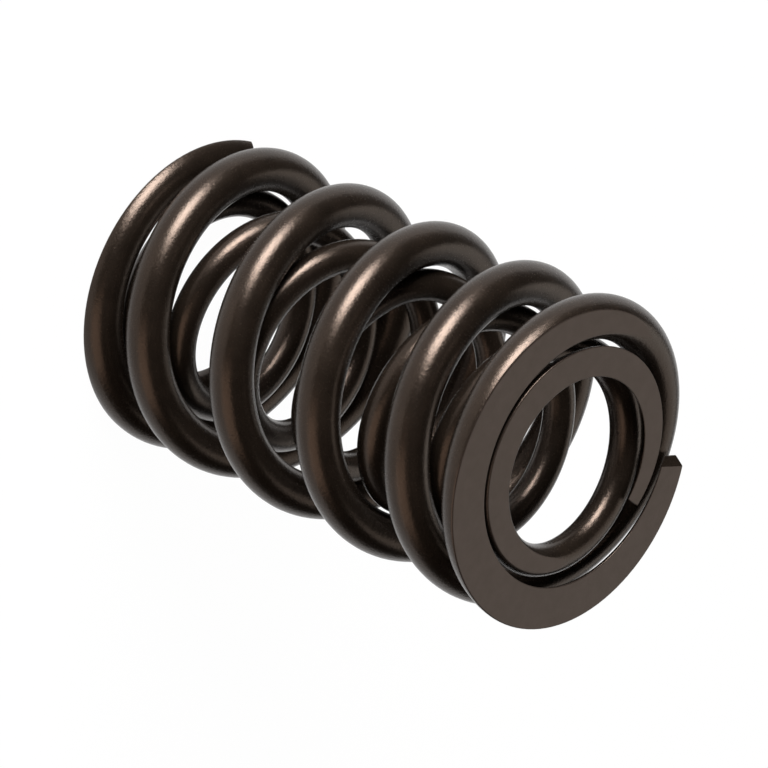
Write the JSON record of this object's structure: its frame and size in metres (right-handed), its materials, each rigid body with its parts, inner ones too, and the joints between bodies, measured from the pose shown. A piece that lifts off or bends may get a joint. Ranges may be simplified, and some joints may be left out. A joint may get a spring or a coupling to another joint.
{
  "type": "dual engine valve spring",
  "caption": "Nested helical compression springs for an engine valve: a right-hand outer coil round a left-hand inner coil, with closed ends ground flat.",
  "frame": {"origin": "on the coil axis, in the plane of the ground lower end", "axes": "+Z along the coil axis, from the seat end to the retainer end; the outer spring's upper tip is at -70 degrees from +X, seen from above"},
  "size_m": [0.0333, 0.0332, 0.0526],
  "materials": {
    "peened_spring_steel": "shot-peened chrome silicon wire with a satin bronze-brown heat oxide, ends ground smooth"
  },
  "bodies": {
    "root": {"outer_spring": "peened_spring_steel", "inner_spring": "peened_spring_steel"}
  },
  "joints": []
}
